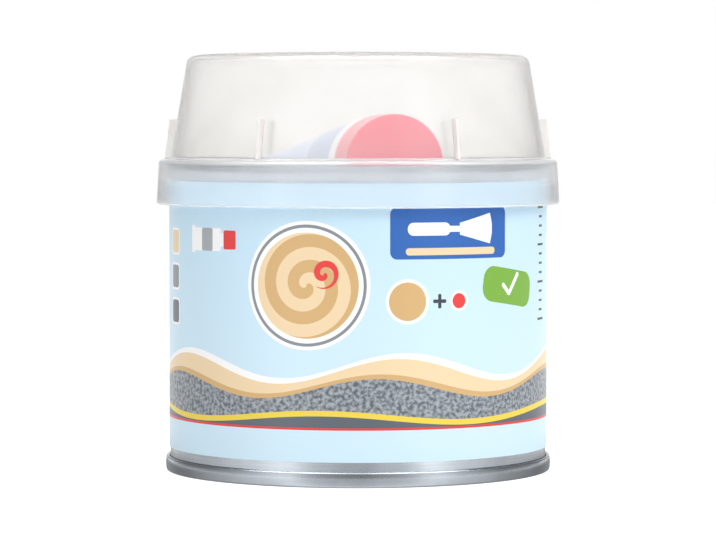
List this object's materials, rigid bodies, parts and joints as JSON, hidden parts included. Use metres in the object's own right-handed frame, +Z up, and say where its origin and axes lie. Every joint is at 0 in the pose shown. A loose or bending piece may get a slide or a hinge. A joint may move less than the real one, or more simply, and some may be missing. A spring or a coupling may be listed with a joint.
{
  "type": "tin of two-part body filler",
  "caption": "Round tinplate tin of filler paste with a press-in lever lid, a tube of hardener lying in the lid's well and a translucent push-on cap that serves as a mixing bowl.",
  "frame": {"origin": "centre of the circle that the bottom seam stands on", "axes": "+Z up along the tin's axis, -Y out of the front of the label, +X to the right seen from the front"},
  "size_m": [0.1058, 0.1058, 0.1084],
  "materials": {
    "tinplate": "bright tinned steel",
    "lid_tinplate": "bright tinned steel",
    "sealing_compound": "matte",
    "label_film": "printed gloss film",
    "filler": "matte mineral-filled paste",
    "natural_polypropylene": "translucent moulded",
    "tube_polyethylene": "satin extruded sleeve",
    "shoulder_polyethylene": "moulded",
    "sealing_foil": "bright foil",
    "hardener": "soft red paste",
    "red_polypropylene": "moulded"
  },
  "bodies": {
    "can": {"can_body": "tinplate", "can_bottom": "tinplate", "bottom_seam_seal": "sealing_compound", "top_ring": "tinplate", "top_seam_seal": "sealing_compound", "wrap_label": "label_film", "filler_paste": "filler"},
    "lid": {"lever_lid": "lid_tinplate"},
    "hardener_tube": {"tube_sleeve": "tube_polyethylene", "tube_shoulder": "shoulder_polyethylene", "tube_foil_seal": "sealing_foil", "hardener_paste": "hardener"},
    "screw_cap": {"tube_cap": "red_polypropylene"},
    "overcap": {"mixing_cap": "natural_polypropylene"}
  },
  "joints": [
    {"name": "lid_lift", "type": "slide", "parent": "can", "child": "lid", "axis": [0, 0, 1], "range_m": [0, 0.03]},
    {"name": "tube_lift", "type": "slide", "parent": "lid", "child": "hardener_tube", "axis": [0, 0, 1], "range_m": [0, 0.04]},
    {"name": "tube_cap_turn", "type": "hinge", "parent": "hardener_tube", "child": "screw_cap", "pos_m": [0.0094, -0.03724, 0.08023], "axis": [0.2756, -0.9613, 0], "range_deg": [0, 540]},
    {"name": "cap_lift", "type": "slide", "parent": "hardener_tube", "child": "overcap", "axis": [0, 0, 1], "range_m": [0, 0.05]}
  ]
}
